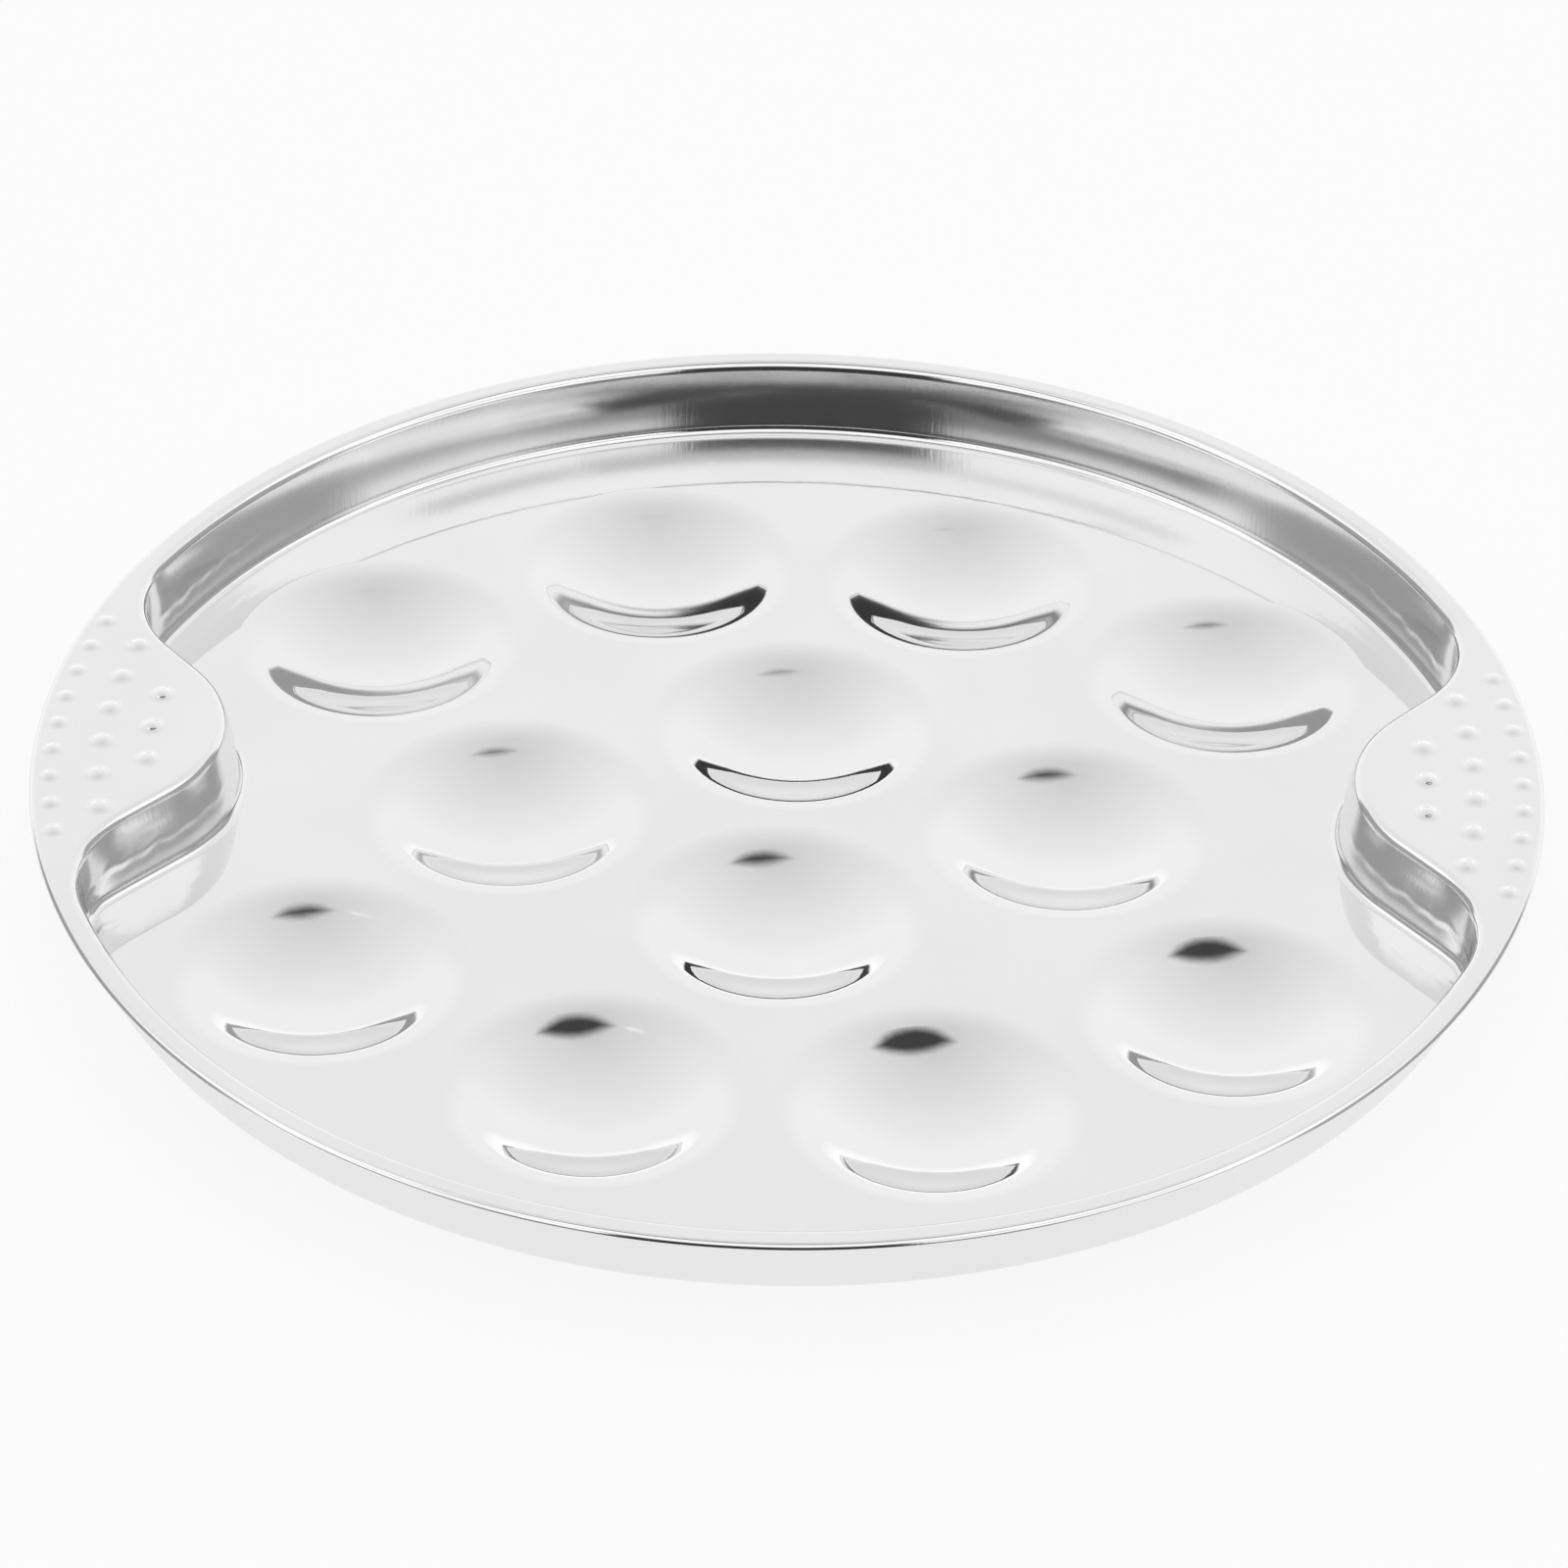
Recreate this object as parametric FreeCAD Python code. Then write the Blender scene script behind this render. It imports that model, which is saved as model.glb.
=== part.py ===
import FreeCAD, Part
import math
import os

# A round escargot plate pressed from one sheet of stainless steel: a flat floor with twelve
# dishes, a leaning wall, a narrow rim, and a pad at each side that reaches in over the floor.
# Millimetres. The plate stands on its dishes at z = 0, its middle is at x = y = 0, and the two
# pads lie on the x axis. Sizes are of the upper face of the sheet.

SHEET = 0.6

# Dishes: a rounded edge, a conical band and a shallow bowl that stands on a small flat. One
# pitch sets all twelve, on a lattice of squares and equal triangles.
DISH_RADIUS = 23.8  # where the rounded edge starts on the floor
DISH_GAP = 3.9  # of flat floor between neighbours
DISH_EDGE = 7.0  # radius of the rounded edge
DISH_SLOPE = math.radians(21)  # of the band
DISH_BOWL = 13.4  # how far out the bowl reaches
DISH_FLAT = 2.0  # radius of the small flat
DISH_BAND = DISH_RADIUS - DISH_EDGE * math.sin(DISH_SLOPE) - DISH_BOWL
DISH_DEPTH = (
    DISH_EDGE * (1 - math.cos(DISH_SLOPE))
    + DISH_BAND * math.tan(DISH_SLOPE)
    + (DISH_BOWL - DISH_FLAT) * math.tan(DISH_SLOPE / 2)
)
DISH_PITCH = 2 * DISH_RADIUS + DISH_GAP
OUTER_DISHES = DISH_PITCH / 2 * math.hypot(1 + math.sqrt(3), math.sqrt(3))  # from the middle

# Wall: as sharp lines, were there no bends. A draw line runs along it at part of its height,
# and the wall leans out more above that line than below it.
FLOOR_MARGIN = 6.8  # from the outer dishes to the wall's foot
WALL_FOOT = OUTER_DISHES + DISH_RADIUS + FLOOR_MARGIN
LOWER_HEIGHT = 7.0
LOWER_LEAN = 0.85
UPPER_HEIGHT = 5.8
UPPER_LEAN = 1.15
WALL_HEIGHT = LOWER_HEIGHT + UPPER_HEIGHT
WALL_HEAD = WALL_FOOT + LOWER_LEAN + UPPER_LEAN
FLOOR_BEND = 2.5
RIM_BEND = 1.6

# Rim and its turned-down lip
RIM_WIDTH = 4.1  # from the wall's head to the edge
PLATE_RADIUS = WALL_HEAD + RIM_WIDTH
LIP_RADIUS = 1.2
LIP_TURN = 65.0
LIP_START = PLATE_RADIUS - LIP_RADIUS * math.sin(math.radians(LIP_TURN))

# Pads, as drawn on the line where the wall meets the rim
PAD_REACH = 25.7  # of the pad's tip in over the floor, from the wall's head
PAD_TIP_RADIUS = 25.0
PAD_FLANK_ANGLE = 48.5  # of the straight flank, from the x axis
PAD_CORNER_RADIUS = 22.4
FLOOR_CORNER_RADIUS = 8.0  # the same corner down at the floor

# Raised dimples on the pads, in columns round the plate's middle, the outer one first
DIMPLE_COUNTS = (9, 6, 3)
DIMPLE_STEPS = (7.24, 8.92, 8.79)  # between neighbours, along each column
DIMPLE_COLUMN_STEP = 7.55
DIMPLE_RADIUS = 2.1
DIMPLE_HEIGHT = 0.65
DIMPLE_FOOT = 1.2  # radius of the bend round its foot
DIMPLE_MARGIN = 0.05  # of flat between the outer column and the lip

FLOOR_TOP = SHEET + DISH_DEPTH
RIM_TOP = FLOOR_TOP + WALL_HEIGHT
ABOVE = RIM_TOP + 5 * DIMPLE_HEIGHT  # any height clear above the plate
UP = FreeCAD.Vector(0, 0, 1)
TOUCH = SHEET / 1e6  # points nearer than this are one


def point(x, y, z=0.0):
    return FreeCAD.Vector(x, y, z)


def arc_between(centre, start, end, outward):
    """The arc from start to end about centre, through the side that outward points to."""
    radius = (start - centre).Length
    middle = centre + outward.normalize().multiply(radius)
    return Part.Arc(start, middle, end).toShape()


def pad_quarter(main_radius, tip, tip_radius, corner_radius):
    """Centres and joints of the outline beside the x axis, for positive x and y."""
    angle = math.radians(PAD_FLANK_ANGLE)
    along = point(math.cos(angle), math.sin(angle))
    across = point(-math.sin(angle), math.cos(angle))
    tip_centre = point(tip + tip_radius, 0)
    flank_start = tip_centre + across * tip_radius
    base = flank_start + across * corner_radius
    reach = main_radius - corner_radius
    run = math.sqrt(base.dot(along) ** 2 - base.dot(base) + reach**2) - base.dot(along)
    corner_centre = base + along * run
    flank_end = flank_start + along * run
    main_start = corner_centre * (main_radius / reach)
    return tip_centre, flank_start, flank_end, corner_centre, main_start


def outline(inward, corner_radius, z):
    """The wall's outline at height z, moved inward from its line at the rim."""
    tip = WALL_HEAD - PAD_REACH - inward
    tip_radius = PAD_TIP_RADIUS + inward
    quarter = pad_quarter(WALL_HEAD - inward, tip, tip_radius, corner_radius)
    lift = point(0, 0, z)

    def placed(vector, sign_x, sign_y):
        return point(vector.x * sign_x, vector.y * sign_y) + lift

    edges = []
    for side in (1, -1):
        low = [placed(v, side, -side) for v in quarter]
        high = [placed(v, side, side) for v in quarter]
        edges.append(arc_between(low[3], low[4], low[2], low[4] + low[2] - low[3] * 2))
        edges.append(Part.makeLine(low[2], low[1]))
        edges.append(arc_between(low[0], low[1], high[1], point(-side, 0)))
        edges.append(Part.makeLine(high[1], high[2]))
        edges.append(arc_between(high[3], high[2], high[4], high[4] + high[2] - high[3] * 2))
        across = placed(quarter[4], -side, side)
        edges.append(arc_between(lift, high[4], across, point(0, side)))
    return Part.Wire(edges)


def edges_at(shape, z, within=math.inf):
    """The level edges at height z that start within a distance of the z axis."""
    found = []
    for edge in shape.Edges:
        start = edge.Vertexes[0].Point
        level = edge.BoundBox.ZLength < TOUCH and abs(start.z - z) < TOUCH
        if level and math.hypot(start.x, start.y) < within:
            found.append(edge)
    return found


def wall_lines(depth):
    """How far in and how high the wall's foot, draw line and head are, on a face that lies
    depth below the sheet's upper face."""
    lower = math.atan2(LOWER_LEAN, LOWER_HEIGHT)
    upper = math.atan2(UPPER_LEAN, UPPER_HEIGHT)
    middle = (lower + upper) / 2
    spread = math.cos((upper - lower) / 2)
    foot = depth / math.cos(lower) - depth * math.tan(lower)
    head = depth / math.cos(upper) - depth * math.tan(upper)
    draw_in = UPPER_LEAN - depth * math.cos(middle) / spread
    draw_height = FLOOR_TOP + LOWER_HEIGHT - depth * math.sin(middle) / spread
    return (
        (LOWER_LEAN + UPPER_LEAN - foot, FLOOR_TOP - depth),
        (draw_in, draw_height),
        (-head, RIM_TOP - depth),
    )


def tray_space(depth):
    """The space over the tray, down to a face that lies depth below its upper face."""
    levels = []
    for inward, z in wall_lines(depth):
        up = (z - FLOOR_TOP + depth) / WALL_HEIGHT
        corner = FLOOR_CORNER_RADIUS + (PAD_CORNER_RADIUS - FLOOR_CORNER_RADIUS) * up
        levels.append(outline(inward, corner + depth, z))
    floor = FLOOR_TOP - depth
    rim = RIM_TOP - depth
    well = Part.makeLoft(levels, True, True)
    well = well.makeFillet(FLOOR_BEND + depth, edges_at(well, floor))
    over = Part.makeCylinder(2 * PLATE_RADIUS, ABOVE - rim, point(0, 0, rim))
    whole = well.fuse(over)
    return whole.makeFillet(RIM_BEND - depth, edges_at(whole, rim, PLATE_RADIUS))


def turned_form(radius, height, rise, slope, foot_bend, top_bend, flat):
    """A round form pressed out of a face at height, turned about z: a bend at its foot, a
    straight side where there is room for one, and a bend up to its top.

    rise is how far its middle stands above the face, below zero for a dish.
    """
    way = math.copysign(1.0, rise)
    side = point(math.sin(slope), 0, way * math.cos(slope))
    middle = point(0, 0, height)
    foot = point(radius, 0, height)
    top = point(flat, 0, height + rise)
    foot_centre = foot + point(0, 0, way * foot_bend)
    top_centre = top - point(0, 0, way * top_bend)
    foot_end = foot_centre - side * foot_bend
    top_start = top_centre + side * top_bend
    edges = [
        Part.makeLine(middle, foot),
        arc_between(foot_centre, foot, foot_end, foot + foot_end - foot_centre * 2),
    ]
    if (top_start - foot_end).Length > TOUCH:
        edges.append(Part.makeLine(foot_end, top_start))
    edges.append(arc_between(top_centre, top_start, top, top_start + top - top_centre * 2))
    if flat:
        edges.append(Part.makeLine(top, point(0, 0, top.z)))
    edges.append(Part.makeLine(point(0, 0, top.z), middle))
    return Part.Face(Part.Wire(edges)).revolve(point(0, 0), UP, 360)


def dish(depth):
    bowl = (DISH_BOWL - DISH_FLAT) / math.sin(DISH_SLOPE)
    return turned_form(
        DISH_RADIUS, FLOOR_TOP - depth, -DISH_DEPTH, DISH_SLOPE, DISH_EDGE - depth, bowl + depth,
        DISH_FLAT
    )


def dimple(depth):
    bends = (DIMPLE_RADIUS**2 + DIMPLE_HEIGHT**2) / (2 * DIMPLE_HEIGHT)  # sum of its two radii
    return turned_form(
        DIMPLE_RADIUS, RIM_TOP - depth, DIMPLE_HEIGHT, math.asin(DIMPLE_RADIUS / bends),
        DIMPLE_FOOT + depth, bends - DIMPLE_FOOT - depth, 0
    )


def dish_centres():
    near = DISH_PITCH / 2
    middle = near * math.sqrt(3)
    far = near * (1 + math.sqrt(3))
    centres = [(0, near), (0, -near), (middle, 0), (-middle, 0)]
    for x, y in ((near, far), (far, middle)):
        centres += [(x, y), (-x, y), (x, -y), (-x, -y)]
    return centres


def dimple_centres():
    centres = []
    radius = LIP_START - DIMPLE_MARGIN - DIMPLE_RADIUS
    for count, step in zip(DIMPLE_COUNTS, DIMPLE_STEPS):
        for index in range(count):
            angle = (index - (count - 1) / 2) * step / radius
            x = radius * math.cos(angle)
            y = radius * math.sin(angle)
            centres += [(x, y), (-x, y)]
        radius -= DIMPLE_COLUMN_STEP
    return centres


def copies(form, centres):
    return [form.translated(point(x, y)) for x, y in centres]


def face_space(depth):
    """All the space over the plate, down to a face depth below its upper face."""
    space = tray_space(depth).multiFuse(copies(dish(depth), dish_centres()))
    return space.cut(copies(dimple(depth), dimple_centres()))


def lip():
    centre = point(LIP_START, 0, RIM_TOP - LIP_RADIUS)
    turn = math.radians(LIP_TURN)

    def on_lip(radius, angle):
        return centre + point(radius * math.sin(angle), 0, radius * math.cos(angle))

    inside = LIP_RADIUS - SHEET
    corners = [on_lip(r, a) for r, a in
               ((inside, 0), (LIP_RADIUS, 0), (LIP_RADIUS, turn), (inside, turn))]
    half = point(math.sin(turn / 2), 0, math.cos(turn / 2))
    edges = [
        Part.makeLine(corners[0], corners[1]),
        arc_between(centre, corners[1], corners[2], half),
        Part.makeLine(corners[2], corners[3]),
        arc_between(centre, corners[3], corners[0], point(half.x, half.y, half.z)),
    ]
    return Part.Face(Part.Wire(edges)).revolve(point(0, 0), UP, 360)


def main():
    sheet = face_space(SHEET).cut(face_space(0.0))
    plate = sheet.common(Part.makeCylinder(LIP_START, ABOVE)).fuse(lip()).removeSplitter()
    os.makedirs("parts", exist_ok=True)
    plate.exportStep("parts/escargot_plate.step")


main()
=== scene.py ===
import math
import bpy
import numpy as np
from mathutils import Matrix, Vector
from mathutils.geometry import delaunay_2d_cdt


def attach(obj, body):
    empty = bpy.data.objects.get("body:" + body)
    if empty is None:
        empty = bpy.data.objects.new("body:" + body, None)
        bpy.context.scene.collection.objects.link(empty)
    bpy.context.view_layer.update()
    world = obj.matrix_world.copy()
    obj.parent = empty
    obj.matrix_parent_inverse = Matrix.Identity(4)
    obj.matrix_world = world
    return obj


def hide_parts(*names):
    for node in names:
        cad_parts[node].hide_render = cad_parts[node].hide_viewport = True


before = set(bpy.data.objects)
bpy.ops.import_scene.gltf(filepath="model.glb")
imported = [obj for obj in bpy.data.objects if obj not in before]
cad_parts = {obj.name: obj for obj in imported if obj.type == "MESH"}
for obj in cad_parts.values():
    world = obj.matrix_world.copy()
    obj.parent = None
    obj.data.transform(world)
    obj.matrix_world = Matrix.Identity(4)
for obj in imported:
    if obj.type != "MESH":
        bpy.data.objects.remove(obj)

# The plate's sizes, in millimetres. Its outlines, heights and dish places are those of the
# part's source. The curve of the dishes and the leans and bends of the wall follow the photo's
# reflections more closely, within 0.3 mm of the solid in the dishes.
SHEET = 0.6
DISH_RADIUS = 23.8
DISH_GAP = 3.9
DISH_DEPTH = 5.607
DISH_EDGE = 11.0
DISH_SLOPE = math.radians(23)
DISH_BOWL = 15.3
DISH_BAND = DISH_RADIUS - DISH_EDGE * math.sin(DISH_SLOPE) - DISH_BOWL
DISH_FLAT = DISH_BOWL - (DISH_DEPTH - DISH_EDGE * (1 - math.cos(DISH_SLOPE))
                         - DISH_BAND * math.tan(DISH_SLOPE)) / math.tan(DISH_SLOPE / 2)
DISH_CREST = math.radians(1.0)
DISH_PITCH = 2 * DISH_RADIUS + DISH_GAP
OUTER_DISHES = DISH_PITCH / 2 * math.hypot(1 + math.sqrt(3), math.sqrt(3))
FLOOR_MARGIN = 6.8
WALL_FOOT = OUTER_DISHES + DISH_RADIUS + FLOOR_MARGIN
LOWER_HEIGHT = 7.0
LOWER_LEAN = 0.5
UPPER_HEIGHT = 5.8
UPPER_LEAN = 1.5
WALL_HEIGHT = LOWER_HEIGHT + UPPER_HEIGHT
WALL_HEAD = WALL_FOOT + LOWER_LEAN + UPPER_LEAN
FLOOR_BEND = 1.6
DRAW_BEND = 50.0
RIM_BEND = 1.7
BEND_REACH = 4.2
RIM_WIDTH = 4.1
PLATE_RADIUS = WALL_HEAD + RIM_WIDTH
LIP_RADIUS = 1.2
LIP_TURN = 65.0
LIP_START = PLATE_RADIUS - LIP_RADIUS * math.sin(math.radians(LIP_TURN))
PAD_REACH = 25.7
PAD_TIP_RADIUS = 25.0
PAD_FLANK_ANGLE = 48.5
PAD_CORNER_RADIUS = 22.4
FLOOR_CORNER_RADIUS = 8.0
DIMPLE_COUNTS = (9, 6, 3)
DIMPLE_STEPS = (7.24, 8.92, 8.79)
DIMPLE_COLUMN_STEP = 7.55
DIMPLE_RADIUS = 2.1
WIDE_DIMPLE_RADIUS = 2.5
DIMPLE_RISE = 0.2
DEEP_DIMPLE_RISE = 0.25
DIMPLE_MARGIN = 0.05
DEEP_COLUMN = 2
FLOOR_TOP = SHEET + DISH_DEPTH
RIM_TOP = FLOOR_TOP + WALL_HEIGHT

# How finely each form is divided.
DISH_SEGMENTS = 72
DISH_EDGE_RINGS = 5
DISH_BOWL_RINGS = 8
DIMPLE_SEGMENTS = 20
DIMPLE_RINGS = 3
LIP_SEGMENTS = 420
LIP_RINGS = 5
BEND_STEPS = 7
DRAW_STEPS = 15
STRAIGHT_STEPS = 3
TIP_STEPS = 22
FLANK_STEPS = 12
CORNER_STEPS = 36
MAIN_STEPS = 108
OUTLINE_STEPS = (60, 200, 200, 900)
TINY = 1e-6
WELD = 1e-7
HOLE_SHARE = 0.995

# Marks that the press left in the wall, in millimetres. The puckers lie in the tight corners. The
# crease starts beside each corner, below the draw line, and climbs to it as it dies out.
PUCKER_DEPTH = 0.025
PUCKER_LENGTHS = (5.4, 9.18)
PUCKER_SPREAD = 11.0
CREASE_DEPTH = 0.07
CREASE_WIDTH = 0.7
CREASE_RUN = 52.0
CREASE_START = 4.0
CREASE_DROP = 2.2
CREASE_WANDER = 0.35
CREASE_WAVES = (9.0, 5.3)
CREASE_UNEVEN = 0.3
CREASE_UNEVEN_WAVES = (7.1, 4.3)
CREASE_GROOVE = 0.6
CREASE_GROOVE_DROP = 1.3

# The steel: its tone, the roughness of its polish and of its brushed wall, and its fine relief.
STEEL_TONES = (0.84, 0.86)
POLISH_ROUGHNESS = (0.025, 0.05)
BRUSHED_ROUGHNESS = 0.16
BRUSHED_SCALE = (1800.0, 1800.0, 40.0)
BRUSHED_STRENGTH = 0.34
BRUSHED_DEPTH = 0.00004
RIPPLE_SCALE = 240.0
RIPPLE_STRENGTH = 0.5
RIPPLE_DEPTH = 0.000012
SMUDGE_SCALE = 30.0

# The photo's camera: pixels, degrees, and metres from the point of the floor that it looks at.
PICTURE_WIDTH = 1600
FOCAL_LENGTH = 6073.28
SENSOR_WIDTH = 36.0
VIEW_ELEVATION = 36.29
VIEW_AZIMUTH = 2.49
VIEW_ROLL = 0.97
VIEW_DISTANCE = 0.96198
VIEW_TARGET = (-0.00088, 0.00906, FLOOR_TOP / 1000)
NEAR_CLIP = 0.01

# The white table, in metres, and how much of it shows plain white.
TABLE_HALF = 4.0
TABLE_TONE = 0.95
TABLE_ROUGHNESS = 0.9
TABLE_GLOW = 0.85

# The tent that lights the plate. Grey tones by degrees over the horizon behind the plate, then
# panels: azimuth and half width, lowest and highest elevation, softness, all in degrees, tone.
# The gap is a dark slit overhead: degrees from its axis and distance aside where it starts, is
# full and ends.
TENT_TONES = ((-90, 0.9), (-2, 1.2), (6, 1.15), (11, 1.0), (25, 1.01), (37, 0.955), (50, 0.90),
              (65, 0.83), (75, 0.78), (83, 0.72), (90, 0.72))
PANELS = (
    (0, 125, -6, 9, 4, 1.05),
    (0, 125, 13, 23, 4, 0.52),
    (-45, 22, 15, 24, 4, 0.24),
    (0, 42, -6, 23, 10, 0.22),
    (0, 112, 27, 76, 3, 1.15),
    (103, 26, -6, 31, 4, 0.42),
    (-103, 26, -6, 31, 4, 0.40),
    (7, 34, 42, 51, 1, 0.66),
    (-52, 23, 47, 52.5, 1, 0.90),
    (58, 15, 43, 50, 1, 0.75),
    (0, 22, -6, 44, 2, 0.04),
)
GAP_AXIS = (0.299, -0.897, 0.326)
GAP_ANGLES = (70.2, 72.6, 74.8, 78.7)
GAP_SIDES = (0.35, 0.55)
GAP_TONE = 0.06

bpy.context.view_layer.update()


class Skin:
    """The sheet's upper face: points, outward normals and faces, welded where forms meet."""

    def __init__(self):
        self.points = []
        self.normals = []
        self.faces = []
        self.known = {}

    def add(self, point, normal):
        key = tuple(round(c * 1000) for c in point)
        if key not in self.known:
            self.known[key] = len(self.points)
            self.points.append(tuple(point))
            self.normals.append(tuple(normal))
        return self.known[key]

    def face(self, corners):
        ring = list(dict.fromkeys(corners))
        if len(ring) > 2:
            self.faces.append(ring)

    def grid(self, points, normals, closed):
        """Rows of points as quads, each row joined to itself where closed."""
        index = [[self.add(p, n) for p, n in zip(*pair)] for pair in zip(points, normals)]
        columns = len(index[0]) - (0 if closed else 1)
        for low, high in zip(index, index[1:]):
            for i in range(columns):
                j = (i + 1) % len(low)
                self.face((low[i], low[j], high[j], high[i]))


def pressed_rings(radius, rise, slope, foot_bend, top_bend, flat, foot_rings, top_rings):
    """Rings of a round pressed form from its foot to its middle: radius, height and slope."""
    rings = []
    for i in range(foot_rings + 1):
        turn = slope * i / foot_rings
        rings.append((radius - foot_bend * math.sin(turn), foot_bend * (1 - math.cos(turn)), turn))
    for i in range(top_rings, -1, -1):
        turn = slope * i / top_rings
        rings.append((flat + top_bend * math.sin(turn), rise - top_bend * (1 - math.cos(turn)), turn))
    if flat:
        rings.append((0.0, rise, 0.0))
    return rings


def dish_rings():
    """A dish's rings. Its band is a little steeper in the middle than where it meets the bends."""
    bowl = (DISH_BOWL - DISH_FLAT) / math.sin(DISH_SLOPE)
    rings = pressed_rings(DISH_RADIUS, DISH_DEPTH, DISH_SLOPE, DISH_EDGE, bowl, DISH_FLAT,
                          DISH_EDGE_RINGS, DISH_BOWL_RINGS)
    upper, lower = rings[DISH_EDGE_RINGS:DISH_EDGE_RINGS + 2]
    middle = ((upper[0] + lower[0]) / 2, (upper[1] + lower[1]) / 2, DISH_SLOPE + DISH_CREST)
    ends = [ring[:2] + (DISH_SLOPE - DISH_CREST,) for ring in (upper, lower)]
    return rings[:DISH_EDGE_RINGS] + [ends[0], middle, ends[1]] + rings[DISH_EDGE_RINGS + 2:]


def dimple_rings(radius, height):
    slope = 2 * math.atan(height / radius)
    bend = radius / 2 / math.sin(slope)
    return pressed_rings(radius, height, slope, bend, bend, 0, DIMPLE_RINGS, DIMPLE_RINGS)


def add_pressed(skin, centre, base, way, profile, segments):
    """A dish (way -1) or a dimple (way 1) about centre, out of the flat at height base."""
    angles = [math.tau * i / segments for i in range(segments)]
    points, normals = [], []
    for radius, rise, slope in profile:
        points.append([(centre[0] + radius * math.cos(a), centre[1] + radius * math.sin(a),
                        base + way * rise) for a in angles])
        out = way * math.sin(slope)
        normals.append([(out * math.cos(a), out * math.sin(a), math.cos(slope)) for a in angles])
    skin.grid(points, normals, closed=True)


def dish_centres():
    near = DISH_PITCH / 2
    middle = near * math.sqrt(3)
    far = near * (1 + math.sqrt(3))
    centres = [(0, near), (0, -near), (middle, 0), (-middle, 0)]
    for x, y in ((near, far), (far, middle)):
        centres += [(x, y), (-x, y), (x, -y), (-x, -y)]
    return centres


def dimple_places():
    """Middle, radius and height of each dimple. On each pad two of the inner three are deeper."""
    places = []
    radius = LIP_START - DIMPLE_MARGIN - DIMPLE_RADIUS
    for column, (count, step) in enumerate(zip(DIMPLE_COUNTS, DIMPLE_STEPS)):
        width = WIDE_DIMPLE_RADIUS if column else DIMPLE_RADIUS
        for i in range(count):
            angle = (i - (count - 1) / 2) * step / radius
            right = DEEP_DIMPLE_RISE if column == DEEP_COLUMN and i < 2 else DIMPLE_RISE
            left = DEEP_DIMPLE_RISE if column == DEEP_COLUMN and i > 0 else DIMPLE_RISE
            x, y = radius * math.cos(angle), radius * math.sin(angle)
            places += [((x, y), width, right * width), ((-x, y), width, left * width)]
        radius -= DIMPLE_COLUMN_STEP
    return places


def quarter_path(inward, corner_radius, steps):
    """The wall's outline for positive x and y, from the pad's tip round to the y axis.

    It lies inward of the wall's head. Gives points, the directions away from the tray, and
    the middle of the corner's arc.
    """
    main_radius = WALL_HEAD - inward
    tip_radius = PAD_TIP_RADIUS + inward
    angle = math.radians(PAD_FLANK_ANGLE)
    along = np.array([math.cos(angle), math.sin(angle)])
    across = np.array([-math.sin(angle), math.cos(angle)])
    tip_centre = np.array([WALL_HEAD - PAD_REACH + PAD_TIP_RADIUS, 0.0])
    flank_start = tip_centre + across * tip_radius
    base = flank_start + across * corner_radius
    reach = main_radius - corner_radius
    run = math.sqrt((base @ along) ** 2 - base @ base + reach**2) - base @ along
    corner = base + along * run
    turn_end = math.atan2(corner[1], corner[0])
    points, away = [], []

    def arc(centre, radius, start, end, count, sign):
        for i in range(count):
            a = start + (end - start) * i / count
            u = np.array([math.cos(a), math.sin(a)])
            points.append(centre + radius * u)
            away.append(sign * u)

    arc(tip_centre, tip_radius, math.pi, math.pi / 2 + angle, steps[0], -1)
    for i in range(steps[1]):
        points.append(flank_start + along * run * i / steps[1])
        away.append(-across)
    arc(corner, corner_radius, angle - math.pi / 2, turn_end, steps[2], 1)
    arc(np.zeros(2), main_radius, turn_end, math.pi / 2, steps[3], 1)
    points.append(np.array([0.0, main_radius]))
    away.append(np.array([0.0, 1.0]))
    return np.array(points), np.array(away), corner


def wall_runs(points, corner, steps, inward, corner_radius):
    """How far in from each point of the wall's head a lower outline of it lies."""
    low, _, _ = quarter_path(inward, corner_radius, OUTLINE_STEPS)
    runs = np.full(len(points), inward)
    rel = low - corner
    angle = np.arctan2(rel[:, 1], rel[:, 0])
    order = np.argsort(angle)
    first = steps[0] + steps[1]
    for i in range(first, first + steps[2]):
        own = points[i] - corner
        reach = np.interp(math.atan2(own[1], own[0]), angle[order],
                          np.hypot(rel[:, 0], rel[:, 1])[order])
        runs[i] = PAD_CORNER_RADIUS - reach
    return runs


def wall_section(foot_run, draw_run):
    """Distance out from the wall's head and height over the floor, from floor to rim."""
    corners = np.array([(-foot_run - FLOOR_BEND * 2, 0), (-foot_run, 0), (-draw_run, LOWER_HEIGHT),
                        (0, WALL_HEIGHT), (RIM_BEND * 2, WALL_HEIGHT)])
    section = []
    for i, radius in zip((1, 2, 3), (FLOOR_BEND, DRAW_BEND, RIM_BEND)):
        before = corners[i] - corners[i - 1]
        after = corners[i + 1] - corners[i]
        start = math.atan2(before[1], before[0])
        turn = math.atan2(after[1], after[0]) - start
        way = math.copysign(1.0, turn)
        half = max(math.tan(abs(turn) / 2), TINY)
        touch = min(radius * half, BEND_REACH)
        radius = touch / half
        heading = before / np.linalg.norm(before)
        left = np.array([-heading[1], heading[0]])
        centre = corners[i] - heading * touch + left * way * radius
        steps = BEND_STEPS if i != 2 else DRAW_STEPS
        bend = []
        for k in range(steps + 1):
            a = start + turn * k / steps
            bend.append(centre + way * radius * np.array([math.sin(a), -math.cos(a)]))
        if section:
            last = section[-1]
            section += [last + (bend[0] - last) * k / STRAIGHT_STEPS
                        for k in range(1, STRAIGHT_STEPS)]
        section += bend
    return section


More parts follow.
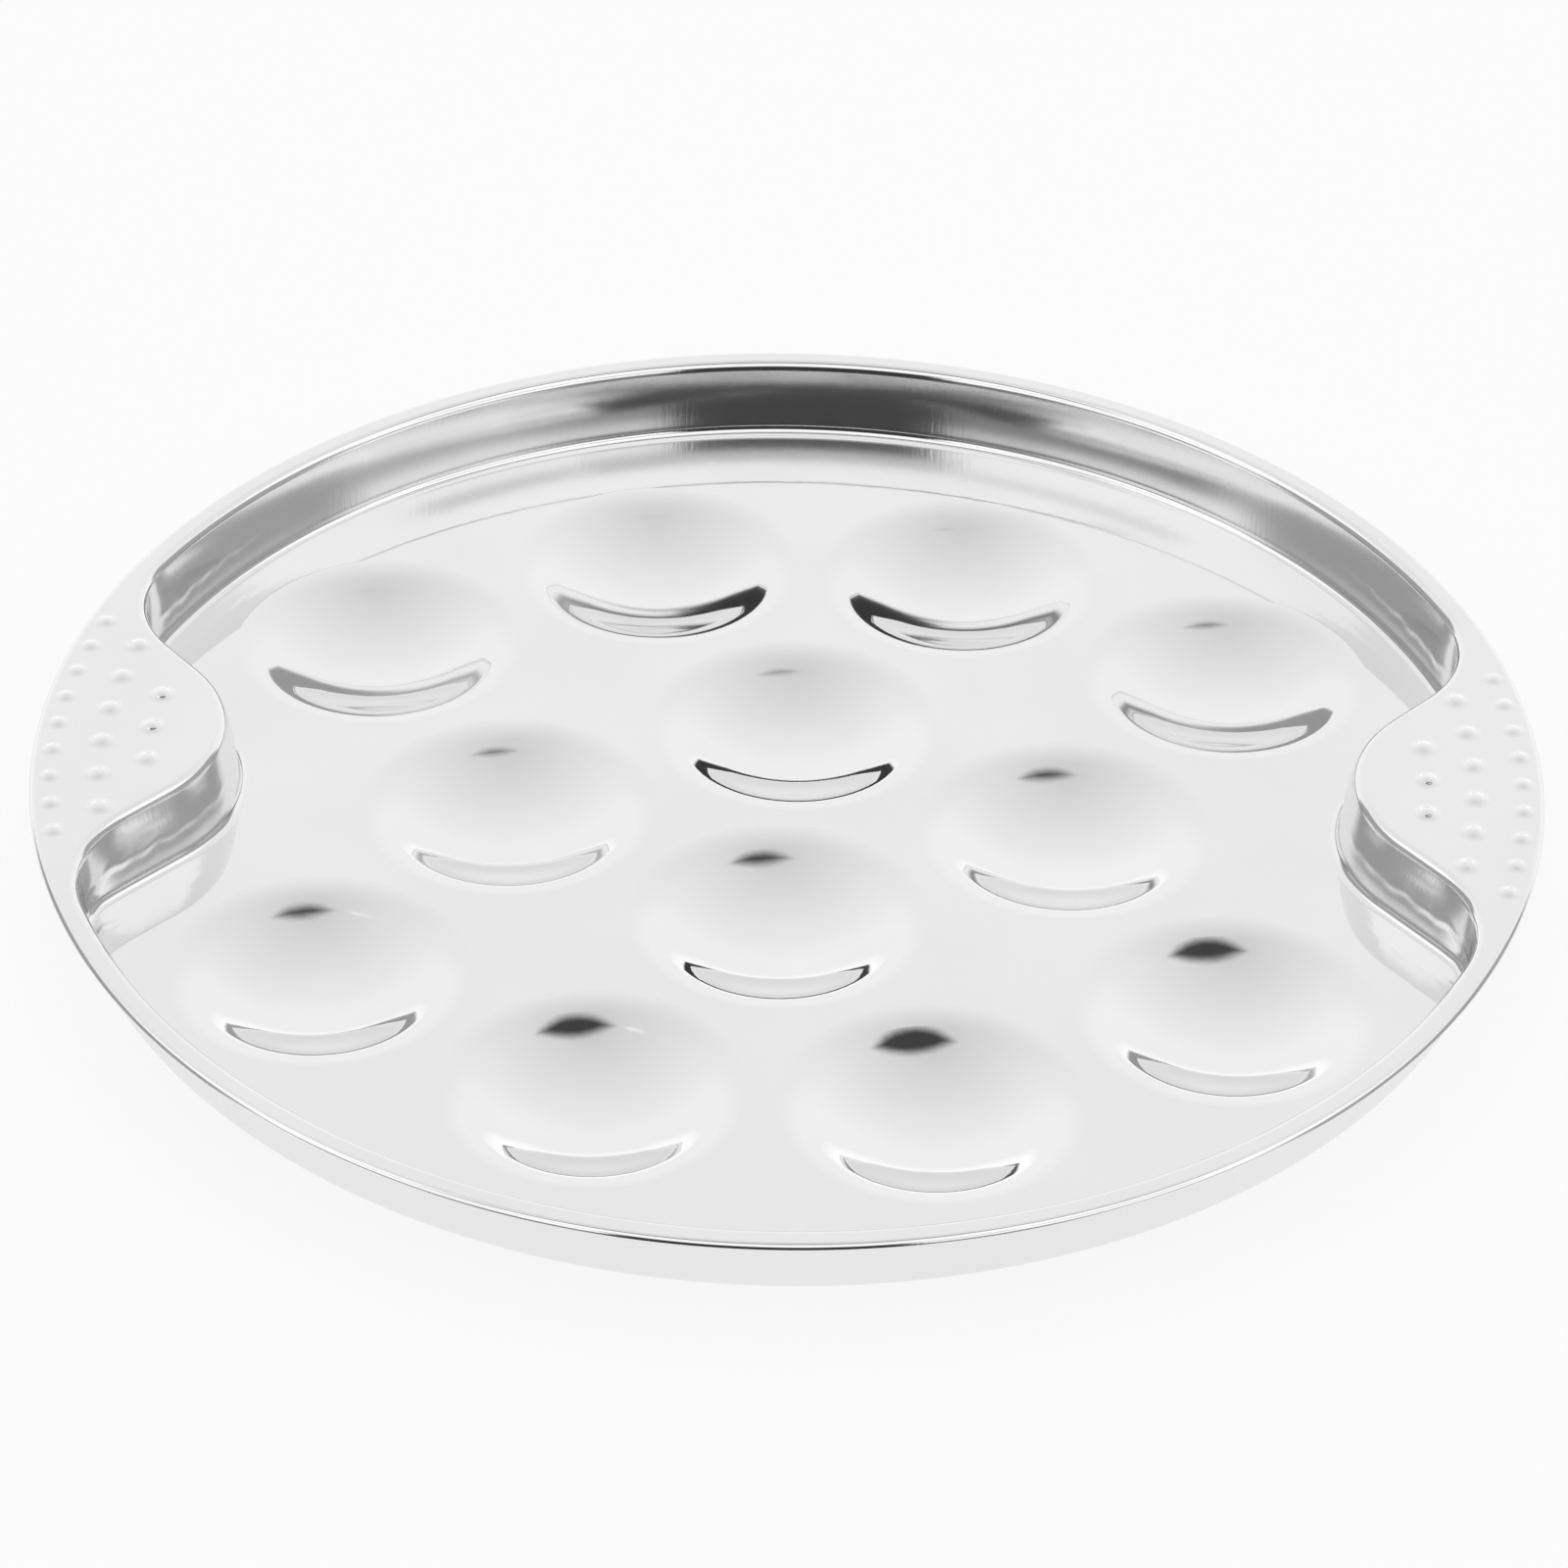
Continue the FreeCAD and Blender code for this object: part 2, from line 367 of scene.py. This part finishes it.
def whole_loop(quarter):
    """Mirrors a quarter of a loop, which starts on x and ends on y, into the whole loop."""
    left = quarter[-2::-1] * np.array([-1, 1] + [1] * (quarter.shape[1] - 2))
    half = np.concatenate([quarter, left])
    back = half[-2:0:-1] * np.array([1, -1] + [1] * (quarter.shape[1] - 2))
    return np.concatenate([half, back])


def waves(along, lengths):
    """An uneven wave between about -1 and 1: sines of unlike lengths, in millimetres."""
    return sum(np.sin(math.tau * along / length + i) for i, length in enumerate(lengths)) / 2


def bump(value, centre, width):
    return np.exp(-(((value - centre) / width) ** 2))


def press_marks(rows, corner_index):
    """How far the press left each point of the wall out of its place: puckers in the tight
    corners and a crease along the draw line that dies out away from them."""
    head = rows[-1, :, :2]
    step = np.linalg.norm(np.roll(head, -1, axis=0) - head, axis=1)
    along = np.concatenate([[0.0], np.cumsum(step)[:-1]])
    total = step.sum()
    height = rows[:, :, 2] - FLOOR_TOP
    ends = np.clip(height / FLOOR_BEND, 0, 1) * np.clip((WALL_HEIGHT - height) / RIM_BEND, 0, 1)
    corner = along[corner_index]
    marks = np.zeros_like(height)
    for place in (corner, total / 2 - corner, total / 2 + corner, total - corner):
        away = np.abs((along - place + total / 2) % total - total / 2)
        pucker = waves(along, PUCKER_LENGTHS) * bump(away, 0, PUCKER_SPREAD)
        marks += PUCKER_DEPTH * pucker * np.clip(1.2 - height / WALL_HEIGHT, 0, 1)
        near = np.clip(1 - away / CREASE_RUN, 0, 1)
        fade = near ** 0.7 * (1 - bump(away, 0, CREASE_START))
        line = LOWER_HEIGHT - CREASE_DROP * near + CREASE_WANDER * waves(along, CREASE_WAVES)
        groove = CREASE_GROOVE * bump(height, line - CREASE_GROOVE_DROP, CREASE_WIDTH)
        ridge = bump(height, line, CREASE_WIDTH) - groove
        uneven = 1 + CREASE_UNEVEN * waves(along, CREASE_UNEVEN_WAVES)
        marks += CREASE_DEPTH * fade * ridge * uneven
    return -marks * ends


def wall_grid():
    """Rows of points from floor to rim, each a closed loop round the tray."""
    steps = (TIP_STEPS, FLANK_STEPS, CORNER_STEPS, MAIN_STEPS)
    points, away, corner = quarter_path(0.0, PAD_CORNER_RADIUS, steps)
    draw_corner = (FLOOR_CORNER_RADIUS
                   + (PAD_CORNER_RADIUS - FLOOR_CORNER_RADIUS) * LOWER_HEIGHT / WALL_HEIGHT)
    foot_runs = wall_runs(points, corner, steps, LOWER_LEAN + UPPER_LEAN, FLOOR_CORNER_RADIUS)
    draw_runs = wall_runs(points, corner, steps, UPPER_LEAN, draw_corner)
    sections = np.array([wall_section(*runs) for runs in zip(foot_runs, draw_runs)])
    rows = []
    for j in range(sections.shape[1]):
        flat = points + away * sections[:, j, 0:1]
        height = FLOOR_TOP + sections[:, j, 1:2]
        rows.append(whole_loop(np.concatenate([flat, height], axis=1)))
    rows = np.array(rows)
    outward = whole_loop(away)
    corner_index = TIP_STEPS + FLANK_STEPS + CORNER_STEPS * 2 // 3
    rows[:, :, :2] += press_marks(rows, corner_index)[:, :, None] * outward
    round_it = np.roll(rows, -1, axis=1) - np.roll(rows, 1, axis=1)
    up_it = np.gradient(rows, axis=0)
    normals = np.cross(up_it, round_it)
    normals /= np.linalg.norm(normals, axis=2, keepdims=True)
    normals[0] = normals[-1] = (0, 0, 1)
    return rows, normals


def inside(loop, x, y):
    """Which of the points x, y lie inside a closed loop."""
    x0, y0 = loop[:, 0], loop[:, 1]
    x1, y1 = np.roll(x0, -1), np.roll(y0, -1)
    spans = (y0[None] > y[:, None]) != (y1[None] > y[:, None])
    rise = np.where(y1 == y0, 1.0, y1 - y0)
    cross = (x1 - x0)[None] * (y[:, None] - y0[None]) / rise[None] + x0[None]
    return (spans & (x[:, None] < cross)).sum(axis=1) % 2 == 1


def add_flat(skin, height, outer, inner, holes, segments):
    """A flat at height inside the outer loop, outside the inner one and clear of the holes."""
    loops = [outer] + ([inner] if inner is not None else [])
    angles = np.arange(segments) * math.tau / segments
    circle = np.stack([np.cos(angles), np.sin(angles)], axis=1)
    loops += [np.array(centre) + circle * radius for centre, radius in holes]
    verts, edges = [], []
    for loop in loops:
        first = len(verts)
        verts += [Vector((float(p[0]), float(p[1]))) for p in loop]
        edges += [(first + i, first + (i + 1) % len(loop)) for i in range(len(loop))]
    found = delaunay_2d_cdt(verts, edges, [], 0, WELD)
    flat = np.array([tuple(v) for v in found[0]])
    triangles = np.array([f for f in found[2]])
    middle = flat[triangles].mean(axis=1)
    keep = inside(outer, middle[:, 0], middle[:, 1])
    if inner is not None:
        keep &= ~inside(inner, middle[:, 0], middle[:, 1])
    for centre, radius in holes:
        away = np.hypot(middle[:, 0] - centre[0], middle[:, 1] - centre[1])
        keep &= away > radius * HOLE_SHARE
    index = [skin.add((p[0], p[1], height), (0, 0, 1)) for p in flat]
    for triangle in triangles[keep]:
        skin.face([index[i] for i in triangle])


def add_lip(skin):
    angles = np.arange(LIP_SEGMENTS) * math.tau / LIP_SEGMENTS
    points, normals = [], []
    for i in range(LIP_RINGS, -1, -1):
        turn = math.radians(LIP_TURN) * i / LIP_RINGS
        radius = LIP_START + LIP_RADIUS * math.sin(turn)
        height = RIM_TOP - LIP_RADIUS * (1 - math.cos(turn))
        points.append([(radius * math.cos(a), radius * math.sin(a), height) for a in angles])
        out = math.sin(turn)
        normals.append([(out * math.cos(a), out * math.sin(a), math.cos(turn)) for a in angles])
    skin.grid(points, normals, closed=True)
    return [skin.add(p, n) for p, n in zip(points[0], normals[0])]


def plate_mesh():
    skin = Skin()
    rows, normals = wall_grid()
    skin.grid(rows.tolist(), normals.tolist(), closed=True)
    dish = dish_rings()
    for centre in dish_centres():
        add_pressed(skin, centre, FLOOR_TOP, -1, dish, DISH_SEGMENTS)
    for centre, radius, height in dimple_places():
        add_pressed(skin, centre, RIM_TOP, 1, dimple_rings(radius, height), DIMPLE_SEGMENTS)
    angles = np.arange(LIP_SEGMENTS) * math.tau / LIP_SEGMENTS
    lip_loop = LIP_START * np.stack([np.cos(angles), np.sin(angles)], axis=1)
    dishes = [(centre, DISH_RADIUS) for centre in dish_centres()]
    dimples = [place[:2] for place in dimple_places()]
    add_flat(skin, FLOOR_TOP, rows[0, :, :2], None, dishes, DISH_SEGMENTS)
    add_flat(skin, RIM_TOP, lip_loop, rows[-1, :, :2], dimples, DIMPLE_SEGMENTS)
    edge = add_lip(skin)
    points = np.array(skin.points)
    normals = np.array(skin.normals)
    count = len(points)
    upper = []
    for face in skin.faces:
        corners = points[face]
        area = np.zeros(3)
        for a, b in zip(corners, np.roll(corners, -1, axis=0)):
            area += np.cross(a, b)
        upper.append(face if area @ normals[face].sum(axis=0) > 0 else face[::-1])
    lower = [[i + count for i in reversed(face)] for face in upper]
    rim = []
    for a, b in zip(edge, edge[1:] + edge[:1]):
        rim.append((a, a + count, b + count, b))
    under = points - normals * SHEET
    mesh = bpy.data.meshes.new("plate")
    mesh.from_pydata((np.concatenate([points, under]) / 1000).tolist(), [], upper + lower + rim)
    mesh.validate()
    mesh.polygons.foreach_set("use_smooth", [True] * len(mesh.polygons))
    set_normals(mesh, np.concatenate([normals, -normals]), 2 * len(upper))
    return mesh


def set_normals(mesh, normals, skin_faces):
    """Gives the skin the exact normals of its form, and the cut edge its own flat ones."""
    loops = []
    for number, face in enumerate(mesh.polygons):
        if number < skin_faces:
            loops += [tuple(normals[v]) for v in face.vertices]
        else:
            loops += [tuple(face.normal)] * len(face.vertices)
    mesh.normals_split_custom_set(loops)


def steel():
    """Mirror polish on the flats and dishes, and fine upright polishing lines on the wall."""
    material = bpy.data.materials.new("polished_steel")
    material.use_nodes = True
    kit = Nodes(material.node_tree)
    shader = material.node_tree.nodes["Principled BSDF"]
    place = kit.add("TexCoord").outputs["Object"]
    up = kit.add("SeparateXYZ", Vector=kit.add("NewGeometry").outputs["True Normal"]).outputs[2]
    upright = kit.step(kit.maths("ABSOLUTE", up), 0.7, 0.3)
    lines = kit.vector("MULTIPLY", place, Vector(BRUSHED_SCALE))
    brushed = kit.add("TexNoise", Vector=lines, Scale=1.0, Detail=3.0).outputs[0]
    ripple = kit.add("TexNoise", Vector=place, Scale=RIPPLE_SCALE, Detail=2.0).outputs[0]
    smudge = kit.add("TexNoise", Vector=place, Scale=SMUDGE_SCALE, Detail=4.0).outputs[0]
    strength = kit.maths("MULTIPLY", upright, BRUSHED_STRENGTH)
    lined = kit.add("Bump", Strength=strength, Distance=BRUSHED_DEPTH, Height=brushed)
    waved = kit.add("Bump", Strength=RIPPLE_STRENGTH, Distance=RIPPLE_DEPTH, Height=ripple,
                    Normal=lined.outputs[0])
    kit.put(shader.inputs["Normal"], waved.outputs[0])
    kit.put(shader.inputs["Base Color"], kit.step(smudge, 0.3, 0.7, *STEEL_TONES))
    polish = kit.step(smudge, 0.35, 0.65, *POLISH_ROUGHNESS)
    kit.put(shader.inputs["Roughness"], kit.mix(upright, polish, BRUSHED_ROUGHNESS))
    shader.inputs["Metallic"].default_value = 1.0
    return material


class Nodes:
    """Short ways to add shader nodes to a tree."""

    def __init__(self, tree):
        self.nodes, self.links = tree.nodes, tree.links

    def add(self, kind, **inputs):
        node = self.nodes.new("ShaderNode" + kind)
        for name, value in inputs.items():
            self.put(node.inputs[name.replace("_", " ")], value)
        return node

    def put(self, socket, value):
        if isinstance(value, bpy.types.NodeSocket):
            self.links.new(value, socket)
        else:
            socket.default_value = value

    def maths(self, operation, *values):
        node = self.nodes.new("ShaderNodeMath")
        node.operation = operation
        for socket, value in zip(node.inputs, values):
            self.put(socket, value)
        return node.outputs[0]

    def step(self, value, start, end, low=0.0, high=1.0):
        """low before start and high after end, or the other way round, with a soft change."""
        node = self.nodes.new("ShaderNodeMapRange")
        node.interpolation_type = "SMOOTHSTEP"
        for name, given in (("Value", value), ("From Min", start), ("From Max", end),
                            ("To Min", low), ("To Max", high)):
            self.put(node.inputs[name], given)
        return node.outputs[0]

    def mix(self, share, first, second):
        node = self.nodes.new("ShaderNodeMix")
        node.data_type = "FLOAT"
        for name, given in zip(("Factor", "A", "B"), (share, first, second)):
            self.put(node.inputs[name], given)
        return node.outputs[0]

    def vector(self, operation, *values):
        node = self.nodes.new("ShaderNodeVectorMath")
        node.operation = operation
        for socket, value in zip(node.inputs, values):
            self.put(socket, value)
        return node.outputs["Value" if operation == "DOT_PRODUCT" else "Vector"]


def studio():
    """White all round for the camera. For the light and the metal, a tent with soft tones.

    The side that one looks in from has a dark opening and grey panels, and a dark slit runs
    overhead.
    """
    world = bpy.data.worlds.new("studio")
    bpy.context.scene.world = world
    world.use_nodes = True
    kit = Nodes(world.node_tree)
    place = kit.add("TexCoord").outputs["Generated"]
    x, y, z = kit.add("SeparateXYZ", Vector=place).outputs
    elevation = kit.maths("MULTIPLY", kit.maths("ARCSINE", z), 180 / math.pi)
    turn = kit.maths("ARCTAN2", x, kit.maths("MULTIPLY", y, -1.0))
    azimuth = kit.maths("MULTIPLY", turn, 180 / math.pi)
    ramp = kit.add("ValToRGB", Fac=kit.maths("DIVIDE", kit.maths("ADD", elevation, 90.0), 180.0))
    ramp.color_ramp.interpolation = "LINEAR"
    stops = ramp.color_ramp.elements
    while len(stops) < len(TENT_TONES):
        stops.new(0.5)
    for stop, (degrees, grey) in zip(stops, TENT_TONES):
        stop.position = (degrees + 90) / 180
        stop.color = (grey, grey, grey, 1)
    tone = ramp.outputs[0]
    for centre, half, low, high, soft, grey in PANELS:
        aside = kit.maths("ABSOLUTE", kit.maths("SUBTRACT", azimuth, float(centre)))
        across = kit.step(aside, half + soft, half - soft)
        above = kit.step(elevation, low - soft, low + soft)
        below = kit.step(elevation, high + soft, high - soft)
        share = kit.maths("MULTIPLY", across, kit.maths("MULTIPLY", above, below))
        tone = kit.mix(share, tone, grey)
    near = kit.vector("DOT_PRODUCT", place, Vector(GAP_AXIS).normalized())
    angle = kit.maths("MULTIPLY", kit.maths("ARCCOSINE", near), 180 / math.pi)
    first, second, third, fourth = GAP_ANGLES
    gap = kit.maths("MULTIPLY", kit.step(angle, first, second), kit.step(angle, fourth, third))
    gap = kit.maths("MULTIPLY", gap, kit.step(kit.maths("ABSOLUTE", x), *reversed(GAP_SIDES)))
    tone = kit.mix(gap, tone, GAP_TONE)
    seen = kit.add("LightPath").outputs["Is Camera Ray"]
    background = world.node_tree.nodes["Background"]
    kit.put(background.inputs["Color"], kit.mix(seen, tone, 1.0))


def camera():
    data = bpy.data.cameras.new("camera")
    data.sensor_width = SENSOR_WIDTH
    data.lens = FOCAL_LENGTH / PICTURE_WIDTH * SENSOR_WIDTH
    data.clip_start = NEAR_CLIP
    elevation = math.radians(VIEW_ELEVATION)
    azimuth = math.radians(VIEW_AZIMUTH)
    roll = math.radians(VIEW_ROLL)
    target = Vector(VIEW_TARGET)
    back = Vector((math.sin(azimuth) * math.cos(elevation),
                   -math.cos(azimuth) * math.cos(elevation), math.sin(elevation)))
    view = bpy.data.objects.new("camera", data)
    bpy.context.scene.collection.objects.link(view)
    turn = back.to_track_quat("Z", "Y").to_matrix().to_4x4()
    place = Matrix.Translation(target + back * VIEW_DISTANCE)
    view.matrix_world = place @ turn @ Matrix.Rotation(roll, 4, "Z")
    bpy.context.scene.camera = view


def ground():
    mesh = bpy.data.meshes.new("ground")
    half = TABLE_HALF
    mesh.from_pydata([(-half, -half, 0), (half, -half, 0), (half, half, 0), (-half, half, 0)],
                     [], [(0, 1, 2, 3)])
    floor = bpy.data.objects.new("ground", mesh)
    bpy.context.scene.collection.objects.link(floor)
    material = bpy.data.materials.new("white_table")
    material.use_nodes = True
    kit = Nodes(material.node_tree)
    shader = kit.nodes["Principled BSDF"]
    shader.inputs["Base Color"].default_value = (TABLE_TONE, TABLE_TONE, TABLE_TONE, 1)
    shader.inputs["Roughness"].default_value = TABLE_ROUGHNESS
    glow = kit.add("Emission")
    light = kit.add("LightPath")
    direct = kit.maths("MAXIMUM", light.outputs["Is Camera Ray"], light.outputs["Is Glossy Ray"])
    mix = kit.add("MixShader")
    kit.put(mix.inputs[0], kit.maths("MULTIPLY", direct, TABLE_GLOW))
    kit.put(mix.inputs[1], shader.outputs[0])
    kit.put(mix.inputs[2], glow.outputs[0])
    kit.put(kit.nodes["Material Output"].inputs["Surface"], mix.outputs[0])
    mesh.materials.append(material)


def main():
    plate = bpy.data.objects.new("plate", plate_mesh())
    bpy.context.scene.collection.objects.link(plate)
    plate.data.materials.append(steel())
    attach(plate, "root")
    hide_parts("escargot_plate")
    ground()
    studio()
    camera()
    bpy.context.scene.view_settings.view_transform = "Standard"


main()
